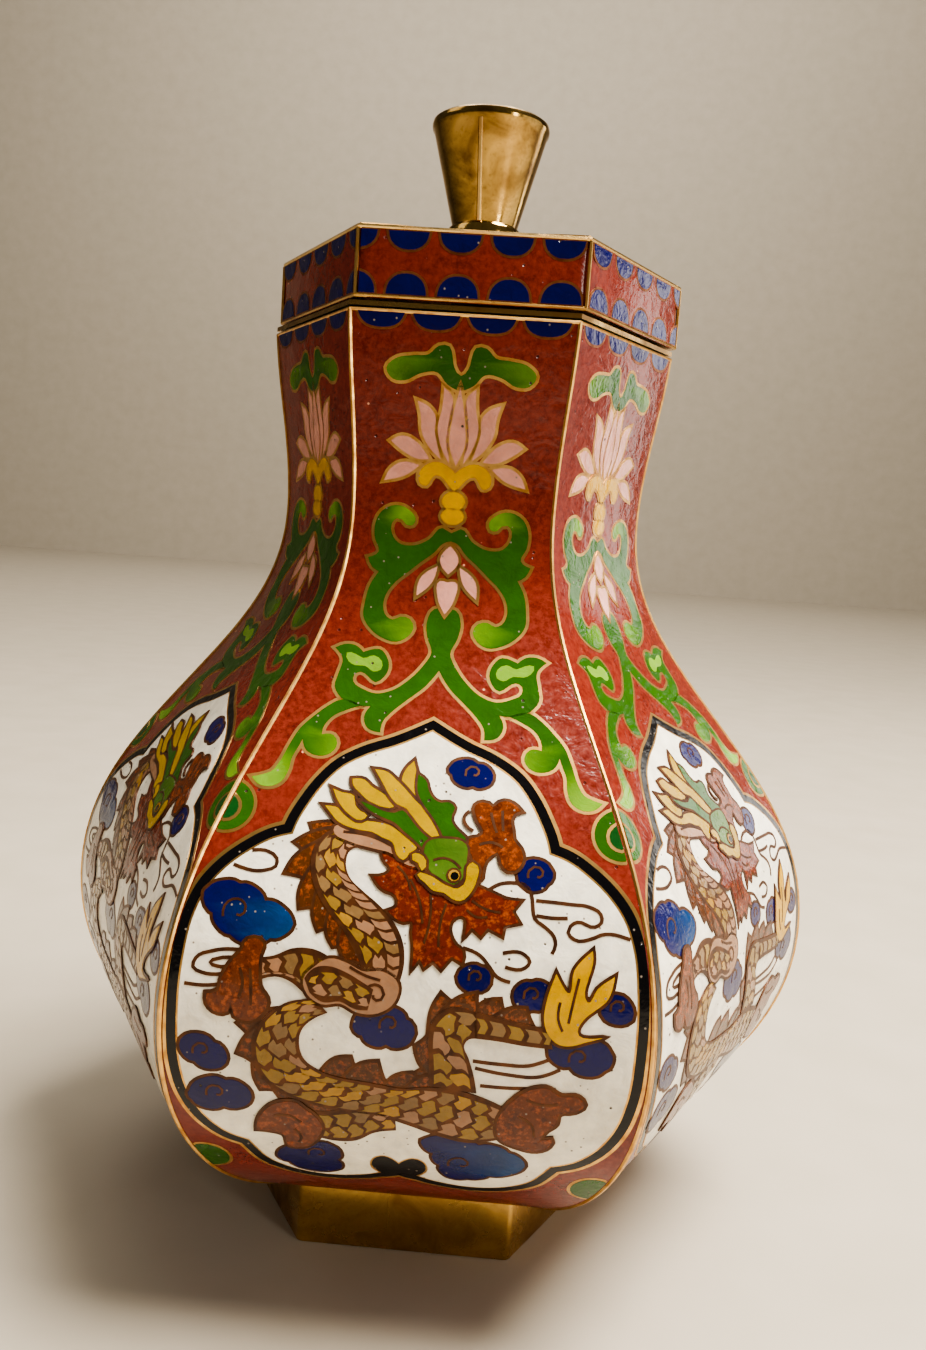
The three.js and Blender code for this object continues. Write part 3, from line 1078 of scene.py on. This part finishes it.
leg_inner = [(-8.6, 23.5), (-6.4, 22.9), (-4.2, 23.2), (-2.4, 24.6), (-0.3, 25.2)]
arm_outer = [(-15.2, 42), (-13, 42.3), (-11, 43.2), (-9, 43.2), (-7.2, 42.4)]
arm_inner = [(-14, 40), (-12.3, 40.4), (-11, 40), (-9.6, 39), (-8, 38.4)]

neck_tips = [(-10.7, 54.9), (-11.9, 53.1), (-12.4, 50.2), (-10.7, 47.1), (-8.8, 45.2), (-7.2, 43.8),
             (-6, 42.6)]
fins(neck_outer, neck_tips)
fins(loop_outer, [(-15.6, 35.6), (-15.6, 32.7), (-13.4, 29), (-10, 27), (-6.6, 26.3)])
fins(loop_inner, [(-5, 32.9), (-2.4, 32.7), (1, 31.9), (3, 31.9)])
fins(rise_outer, [(1.6, 32.2), (1.3, 34.9), (3.3, 39.9), (6.4, 40.2)])
fins(tail_outer, [(8.7, 39.8), (11.2, 39.2)])
strand(neck_outer, neck_inner, body_level, 2, bars=0.42)
strand(leg_outer, leg_inner, body_level, 2)
strand(loop_outer, loop_inner, loop_level, 3)
strand(rise_outer, rise_inner, tail_level, 2)
strand(tail_outer, tail_inner, tail_level, 1, pitch=1.7)
strand(arm_outer, arm_inner, body_level, 1, bars=0.3, pitch=1.5)

haunch = [(-9, 41.6), (-7.6, 42.5), (-5.8, 42.2), (-4.4, 41.6), (-2.4, 41.7), (-0.9, 40.7), (-1.1, 39),
          (-2.6, 37.8), (-4.6, 37.7), (-6.2, 38.4), (-8, 38.2), (-9.4, 39), (-9.9, 40.4)]
picture.cell(haunch, mauve_glass, haunch_level, COPPER, width=0.3)
haunch_upper = [(-9.8, 40.5), (-9, 41.5), (-7.6, 41.8), (-6, 41.4), (-4.5, 40.7), (-3.2, 40)]
haunch_lower = [(-9.2, 39.2), (-7.9, 38.4), (-6.2, 38.6), (-4.8, 38), (-3.6, 38)]
strand(haunch_upper, haunch_lower, haunch_level + small_step, 2, pitch=1.6)
picture.line(curl((-2.9, 39.5), 1.1, start=2.6, turns=0.9), haunch_level + 0.7, width=0.28)
picture.line([(-5.6, 41.9), (-4, 41.2), (-2.6, 40.9)], haunch_level + 0.7, width=0.26)

claws = [
    [(12.5, 31.6), (13.7, 31.85), (15.2, 31.1), (16.9, 31.1), (17.5, 30.4), (16.65, 29.5),
     (15.2, 29.06), (15.03, 27.9), (14, 26.7), (13.7, 25.7), (14.7, 26), (14.6, 24.9),
     (13.4, 24.06), (11.6, 24.35), (9.7, 25.4), (9.4, 27.6), (10.4, 29.8)],
    [(-12.2, 27.3), (-11.35, 27.65), (-9.9, 27.65), (-9.2, 27), (-8.4, 26.4), (-7.6, 25.2),
     (-8.1, 22.9), (-9.6, 21.4), (-10.8, 21.4), (-11.35, 23.2), (-12.8, 23.6), (-14, 23.6, 1),
     (-13.85, 24.9), (-13.1, 26.4)],
    [(-16.06, 42.4), (-15.5, 43.6), (-14, 43.4), (-14.2, 42.2), (-14.2, 40.9), (-14, 39.4),
     (-13.1, 37.9), (-13.7, 36.7), (-14.9, 35.97), (-16.2, 36.4, 1), (-16.65, 37.6, 1),
     (-16.9, 36.7), (-17.8, 36.56), (-18.9, 37.4), (-19, 38.3, 1), (-17.8, 38.8), (-17.7, 39.65),
     (-17.2, 40.9), (-16.35, 42.1)],
    [(6, 50.8), (6.2, 51.7), (6.4, 52.7), (7, 53.4), (7.5, 53.7), (7.8, 53.2), (8, 52.6),
     (8.6, 52), (9.2, 52), (9.8, 52.6), (10, 53.3), (9.7, 54.2), (9, 55), (8.8, 56), (8.6, 57),
     (8.8, 57.6), (9.5, 58, 1), (8.7, 58.7), (7.8, 58.9), (7.3, 58.7), (6.7, 58.2), (6.3, 58.5),
     (5.7, 58.6), (5, 58.2), (5.2, 57), (5.9, 55.3), (5.5, 55), (4.7, 54.8), (4.5, 54),
     (5, 53.3), (5.3, 52.5), (5.7, 51.5)],
]
for claw in claws:
    picture.cell(claw, claw_glass, claw_level, COPPER)
picture.line([(5, 55.6), (4.2, 56.2), (4, 57), (4.5, 57.6)], claw_level)
for line in (
    [(6.6, 57.6), (6.9, 56.6), (7.3, 55.6)], [(7.7, 57.9), (7.8, 56.8), (7.9, 55.8)],
    [(5.7, 54.3), (7, 54.6), (8, 54.2)],
    [(-16, 41), (-15.6, 39.6), (-15.9, 38.2)], [(-15, 41), (-14.8, 39.4), (-14.7, 37.6)],
    [(12, 30.4), (13.4, 30), (15, 30.2)], [(11.4, 28.4), (12.6, 27.6), (13, 26)],
    [(-12.2, 25.8), (-10.8, 26), (-9.6, 25.2)], [(-10.2, 24.2), (-9.6, 23), (-9.9, 22.2)],
):
    picture.line(line, claw_level + 0.4, width=0.28)

flame = [
    (14.6, 36.3), (13.3, 37.5), (13, 38.5), (13.1, 40.2), (13.85, 42.85, 1), (14.5, 41.8),
    (15, 41.2), (15.5, 43.3), (17.1, 45.2, 1), (17.2, 44.5), (16.8, 42.4), (16.6, 41.4),
    (16.9, 40.5), (17.8, 41.8), (19.3, 43, 1), (18.6, 40.6), (17.8, 39.9), (16.65, 38.8),
    (16.2, 37.7), (18.6, 37.3, 1), (16.9, 36.7), (15.8, 36.3),
]
picture.cell(flame, yellow_glass, flame_level, COPPER, width=0.3)
picture.line([(14.4, 40.3), (14.3, 38.8), (14.8, 37.6)], flame_level + 0.5, width=0.26)
picture.line([(16, 42.6), (15.6, 40.4), (15.3, 38.4)], flame_level + 0.5, width=0.26)

beard = [
    (-3.6, 52.6), (-1, 52.6), (0, 51.2), (3, 50.6), (5.8, 50.3), (6.6, 50), (7.5, 49.7), (8.6, 49.3),
    (10, 49.2, 1), (9.3, 48.2, 1), (10, 47.2, 1), (8.6, 46.8, 1), (8.5, 45.9, 1), (7.1, 46.5, 1),
    (6.5, 45.7, 1), (5.6, 46.4, 1), (5, 45.6, 1), (4.6, 47.4), (3.6, 46.8), (3.5, 46),
    (3.8, 45.2), (4.3, 44.6), (4.9, 44.2), (4.9, 43.1, 1), (3.9, 43.6, 1), (3, 42.4, 1),
    (2.2, 43.1, 1), (1.4, 42.4, 1), (0.9, 43.2, 1), (0.3, 42.3, 1), (0.2, 44.5), (0, 45.5),
    (-0.1, 46.5), (-0.9, 46.4), (-2.5, 47.3, 1), (-1.6, 48), (-1.9, 48.8), (-3.2, 49.3),
    (-4.2, 50.4, 1), (-3.2, 50.6), (-2.6, 51.2), (-3.2, 51.9),
]
picture.cell(beard, beard_glass, beard_level, COPPER, width=0.3)
for line in (
    [(1.4, 49.4), (1.6, 47), (1.2, 44.6)], [(3, 48.4), (2.6, 46.6), (2.6, 44.4)],
    [(-0.6, 50.4), (0.4, 48.6), (0.9, 46.4)], [(5.4, 48.9), (6.8, 48.2), (8.2, 48)],
    [(5, 48), (6, 47.4), (7, 47.5)], [(-2, 51.6), (-1, 50.6), (-0.5, 49.4)],
):
    picture.line(line, beard_level + 0.5, width=0.24)

mane_ground = [(-8.6, 54.6), (-6, 55.4), (-3, 55.6), (0, 55.6), (1.6, 53.6), (0.6, 51.8), (-1.2, 51.8),
               (-2.6, 52.7), (-4.6, 53.1), (-6.6, 53.5)]
picture.cell(mane_ground, mauve_glass, mane_level, COPPER, width=0.3)
picture.line([(-7.6, 54.5), (-5, 54.3), (-2.6, 53.4)], mane_level + 0.5, width=0.26)
locks = [
    [(-5.3, 61.2, 1), (-4, 61), (-3, 60.2), (-2.2, 59.5), (-1, 58.3), (0.3, 57.2), (1.3, 56),
     (2.3, 54.6), (2, 54.2), (1, 54.5), (0, 55.3), (-1, 56.3), (-1.7, 57.3), (-2.7, 57.7),
     (-3.5, 58.5), (-4.3, 59.7), (-4.7, 60.3)],
    [(-1.5, 62.4, 1), (-1.2, 61.5), (-1, 61), (-1.1, 60.2), (-0.8, 59), (-1.2, 58.4),
     (-2.2, 59.3), (-2.5, 60.3), (-2.2, 61.5)],
    [(-7.4, 60, 1), (-6.2, 60), (-5.5, 59.4), (-4.3, 58.75), (-3.5, 58.2), (-3, 57.4),
     (-4, 57.3), (-5.5, 57.8), (-6.5, 58.6), (-7.25, 59.3)],
    [(-9.17, 58.8, 1), (-8.3, 58.5), (-7, 58.2), (-6.8, 57.3), (-6.2, 56.7), (-5.5, 56.3),
     (-6, 55.8), (-7.3, 56.3), (-8.3, 57.25), (-8.8, 58)],
    [(-9.75, 57, 1), (-8.25, 56.8), (-7.5, 56.2), (-6, 55.8), (-4.3, 55.7), (-3.2, 55.5),
     (-2.3, 55), (-1, 54.2), (-0.3, 53.7), (-1, 52.8), (-1.5, 52.2), (-2.2, 52.7), (-2.7, 53.8),
     (-3.8, 54.25), (-4.8, 54.7), (-6, 54.8), (-7.7, 55.2), (-8.3, 55.5), (-9.1, 56.3)],
]
for number, lock in enumerate(locks[::-1]):
    picture.cell(lock, deep_yellow, lock_level + small_step * number, COPPER, rise=0.1)
horns = [
    [(-6.3, 57.7, 1), (-5.3, 57.4), (-4, 56.9), (-2.8, 56.8), (-2.1, 57.1), (-1.4, 56.5),
     (-0.6, 55.6), (0.3, 54.8), (1.2, 54.2), (2, 53.7), (1.7, 52.5), (0.5, 53.3), (-0.7, 54.3),
     (-1.7, 55), (-2.7, 55.8), (-3.8, 56.2), (-5.2, 56.8)],
    [(-0.9, 61, 1), (-0.1, 60.4), (0.3, 59.3), (0.9, 58.5), (1.6, 58.2), (2.4, 58.3), (3, 57.8),
     (2.8, 57.1), (2.8, 56.4), (3.4, 55.6), (4.4, 54.5), (2.6, 54.2), (1.8, 55.4), (1, 56.6),
     (0, 57.8), (-0.7, 58.9)],
]
for number, horn in enumerate(horns):
    picture.cell(horn, green_glass, horn_level + small_step * number, COPPER, width=0.3, rise=0.1)
face = [
    (0.6, 54), (2.6, 54.6), (4.4, 54.2), (4.6, 52.6), (4.4, 51), (3.5, 50.2), (1.8, 50.8), (0.6, 52.3),
]
dark_cheek = [((1.2, 53.4), 2.2, green_glass)]
picture.cell(face, moss_glass, face_level, COPPER, width=0.26, tips=dark_cheek)
jaw = [
    (0, 50.9), (1.5, 50.8), (2.4, 50.3), (3.2, 50), (4, 49.9), (4.5, 50.3), (4.7, 51.2), (4.7, 52),
    (5.2, 52.5), (5.7, 52.2), (5.7, 50.8), (5.3, 49.7), (4.3, 48.75), (3.5, 48.9), (2.7, 49.4),
    (1.7, 49.5), (0.8, 50.2),
]
picture.cell(jaw, deep_yellow, jaw_level, COPPER, width=0.3)
ear = [(-0.7, 52.8), (0, 52.9), (0.7, 52.3), (0.75, 51.7), (0.4, 51.3), (0.1, 51.7), (0, 52),
       (-0.6, 52.25)]
picture.cell(ear, deep_yellow, jaw_level, COPPER, width=0.3)
picture.cell(around((3.5, 51.1), 0.56, 10), straw_glass, eye_level, COPPER, width=0.2)
picture.cell(around((3.58, 51.05), 0.4, 8), black_glass, eye_level + 0.6, wire=None)
picture.line([(1.4, 52.4), (2.4, 52.7), (3.4, 52.4), (4.1, 51.8)], face_level + 0.6, width=0.24)

dress(picture, "picture", levels[1:-1], (levels, run_distances, run_heights), range(SIDES))


# Corner wires
# A gilded wire soldered along each of the six corners, where the enamel of two faces meets.
def wires_along(name, paths, radius, finish, closed=False):
    """Round wires along lists of points, as one mesh."""
    curve = bpy.data.curves.new(name, "CURVE")
    curve.dimensions = "3D"
    curve.bevel_depth = radius
    curve.bevel_resolution = 1
    curve.use_fill_caps = True
    for path in paths:
        spline = curve.splines.new("POLY")
        spline.points.add(len(path) - 1)
        spline.use_cyclic_u = closed
        for point, place in zip(spline.points, path):
            point.co = (*place, 1)
    piece = bpy.data.objects.new(name, curve)
    bpy.context.collection.objects.link(piece)
    select_only(piece)
    bpy.ops.object.convert(target="MESH")
    piece = bpy.context.object
    bpy.ops.object.shade_smooth_by_angle(angle=math.radians(50))
    piece.data.materials.append(finish)
    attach(piece, "root")


def turned(radius, height, turn, middle=0.0):
    return (middle + radius * math.cos(turn), radius * math.sin(turn), height)


def up_corners(line, middle=0.0):
    """The same line of radii and heights up each of the six corners."""
    return [[turned(r, h, corner * step_angle, middle) for r, h in line] for corner in range(SIDES)]


def around_corners(radius, height, middle=0.0):
    return [turned(radius, height, corner * step_angle, middle) for corner in range(SIDES)]


gilt = wire_finishes[GILT]
corner_sink = 0.14 * mm
corner_paths = up_corners(list(zip(corner_radii - corner_sink, run_heights)))
wires_along("body_corner_wires", corner_paths, 0.24 * mm, gilt)
mouth_line = around_corners(corner_radii[-1] - 0.1 * mm, run_heights[-1] - 0.1 * mm)
wires_along("mouth_wire", [mouth_line], 0.2 * mm, gilt, closed=True)
base_line = around_corners(corner_radii[0] - 0.2 * mm, run_heights[0] + 0.25 * mm)
wires_along("base_wire", [base_line], 0.25 * mm, gilt, closed=True)


# Mouth rim
# A six-sided strip of rolled brass, turned in over the edge of the mouth and soldered there. The lid
# drops over its low collar.
rim_brass = brass("rim_brass", srgb(206, 168, 100), srgb(136, 100, 56))
rim = bpy.data.objects["mouth_rim"]
rim.data.materials.clear()
rim.data.materials.append(rim_brass)


# Lid
# A shallow six-sided copper cap with a low roof. A band of scallops runs round its side in the
# same enamel, and its hidden top has a plain bud on each slope.
lid_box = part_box("lid")
lid_middle = (lid_box[0][0] + lid_box[1][0]) / 2
lid_line = corner_line("lid")
roof_line = lid_line[2:]
lid_radius = max(radius for radius, _ in lid_line)
lid_low, band_top, roof_low = (height for _, height in lid_line[:3])
knob_foot_radius, lid_top = lid_line[-1]
lid_wall = 1.2 * mm
lid_inner_radius = lid_radius - lid_wall / to_face
lid_shell_line = [
    (knob_foot_radius, lid_top - lid_wall),
    (lid_inner_radius, roof_low - lid_wall),
    (lid_inner_radius, lid_low),
    (lid_radius, lid_low),
    *lid_line[1:],
]
lid_shell = rings("lid_enamel", lid_shell_line, shift=lid_middle)
lid_shell.data.materials.append(bpy.data.materials["red_enamel"])
lid_shell.data.materials.append(bpy.data.materials["turquoise_enamel"])
lid_shell.data.materials.append(rim_brass)
for polygon in lid_shell.data.polygons:
    inward = polygon.normal.x * (polygon.center.x - lid_middle) + polygon.normal.y * polygon.center.y < 0
    if polygon.center.z < lid_low + 0.01 * mm:
        polygon.material_index = 2
    elif polygon.normal.z < -0.3 or (inward and polygon.normal.z < 0.3):
        polygon.material_index = 1
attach(lid_shell, "root")
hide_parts("lid")

face_width = lid_radius / mm
band_runs = np.array([0, band_top - lid_low])
band_distances = np.array([lid_radius, lid_radius]) * to_face
band_heights = np.array([lid_low, band_top])
scallops = 27
scallop_pitch = SIDES * face_width / scallops
scallop_half = 2.1
first_scallop = -1.33


def band_half_width(run):
    return np.full(len(run), face_width / 2)


def scallop(middle, root, depth, half):
    """Half an oval that hangs from a line, or stands on it where the depth is negative."""
    return [
        (middle - half, root, 1), (middle - 0.86 * half, root - 0.55 * depth),
        (middle - 0.45 * half, root - 0.92 * depth), (middle, root - depth),
        (middle + 0.45 * half, root - 0.92 * depth), (middle + 0.86 * half, root - 0.55 * depth),
        (middle + half, root, 1),
    ]


for side in range(SIDES):
    band = Inlay(band_half_width)
    for number in range(-scallops, 2 * scallops):
        middle = first_scallop + number * scallop_pitch - side * face_width
        if abs(middle) < face_width / 2 + 2:
            for root, depth in ((6.8, 1.8), (0.5, -2.1)):
                hanging = scallop(middle, root, depth, scallop_half)
                band.cell(hanging, navy_glass, 0, LID_AND_MOUTH_WIRE, scallop_wire)
    dress(band, "lid", [], (band_runs, band_distances, band_heights), [side], lid_middle)

roof_distances = np.array([radius for radius, _ in roof_line]) * to_face
roof_heights = np.array([height for _, height in roof_line])
roof_runs = np.concatenate([[0], np.cumsum(np.hypot(np.diff(roof_distances), np.diff(roof_heights)))])


def roof_half_width(run):
    return np.interp(run, roof_runs / mm, roof_distances / mm) * math.tan(math.pi / SIDES)


roof = Inlay(roof_half_width)
for middle in (-7.8, -2.6, 2.6, 7.8):
    standing = [point[:2] for point in scallop(middle, 0, -1.7, 2.2)]
    roof.cell(standing, navy_glass, 0, LID_AND_MOUTH_WIRE, scallop_wire)
roof.pair([(-0.4, 4.4), (-2.2, 4), (-4.6, 4.9), (-6, 4.2, 1), (-4.6, 3.2), (-2, 3)], green_glass, 0)
roof.cell([(0, 11.4, 1), (-1.1, 9), (-0.9, 6.6), (0, 5.2, 1), (0.9, 6.6), (1.1, 9)], pink_glass, 0.5)
roof.pair([(-0.6, 5, 1), (-1.8, 6.4), (-2.6, 8.6), (-2.7, 10, 1), (-1.5, 8.6)], pink_glass, 0)
roof.pair([(-1.2, 4.6, 1), (-3, 5.4), (-4.3, 7.4, 1), (-2.6, 6.8)], pink_glass, 0)
roof_shape = (roof_runs, roof_distances, roof_heights)
dress(roof, "roof", roof_runs[1:-1], roof_shape, range(SIDES), lid_middle)

# Brighter brass for the lid's edge bead and the knob seam; on the seam its lighter colour is a painted
# highlight.
bead_brass = brass("bead_brass", srgb(244, 212, 146), srgb(196, 150, 90), 0.2)
lid_wire_radius = lid_radius - corner_sink
side_line = [(lid_wire_radius, lid_low + 0.3 * mm), (lid_wire_radius, band_top)]
ridge_line = [(radius, height - 0.05 * mm) for radius, height in roof_line]
wires_along("lid_corner_wires", up_corners(side_line, lid_middle), 0.22 * mm, gilt)
wires_along("lid_ridge_wires", up_corners(ridge_line, lid_middle), 0.2 * mm, gilt)
edge_line = around_corners(lid_radius - 0.22 * mm, band_top + 0.22 * mm, lid_middle)
wires_along("lid_edge_bead", [edge_line], 0.26 * mm, bead_brass, closed=True)
skirt_line = around_corners(lid_radius - 0.16 * mm, lid_low + 0.24 * mm, lid_middle)
wires_along("lid_skirt_bead", [skirt_line], 0.25 * mm, rim_brass, closed=True)


# Knob
# A cone rolled from brass sheet, soldered up one side and turned over at the top, that stands on a
# short foot in the middle of the lid.
knob_low, knob_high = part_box("knob")
knob_middle = (knob_low[0] + knob_high[0]) / 2
knob_base, knob_top = knob_low[2], knob_high[2]
knob_radius = (knob_high[0] - knob_low[0]) / 2
cone_foot = (3.9 * mm, knob_base + 1.4 * mm)
cone_head = (knob_radius - 0.3 * mm, knob_top - 1.5 * mm)
knob_line = [
    (4.4 * mm, knob_base), (4.4 * mm, knob_base + 0.9 * mm), (4.3 * mm, knob_base + 1.1 * mm),
    (4.05 * mm, knob_base + 1.2 * mm), cone_foot, cone_head,
    (knob_radius - 0.06 * mm, knob_top - 1.1 * mm), (knob_radius, knob_top - 0.7 * mm),
    (knob_radius - 0.1 * mm, knob_top - 0.3 * mm), (knob_radius - 0.4 * mm, knob_top - 0.06 * mm),
    (knob_radius - 0.8 * mm, knob_top), (knob_radius - 1.3 * mm, knob_top - 0.1 * mm),
    (knob_radius - 1.8 * mm, knob_top - 0.4 * mm), (2 * mm, knob_top - 0.6 * mm),
    (0.2 * mm, knob_top - 0.6 * mm),
]
knob = rings("knob_brass", knob_line, sides=96, shift=knob_middle)
knob_finish = brass("knob_finish", srgb(214, 176, 102), srgb(92, 62, 30), 0.12)
knob.data.materials.append(knob_finish)
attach(knob, "root")
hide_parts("knob")
# The seam is a raised wire in the brighter brass: its light colour is a painted highlight along it, beside
# the lamps' own.
seam_turn = math.radians(-98)
seam_rise = 0.08 * mm
seam = [turned(r + seam_rise, h, seam_turn, knob_middle) for r, h in (cone_foot, cone_head)]
wires_along("knob_seam", [seam], 0.28 * mm, bead_brass)
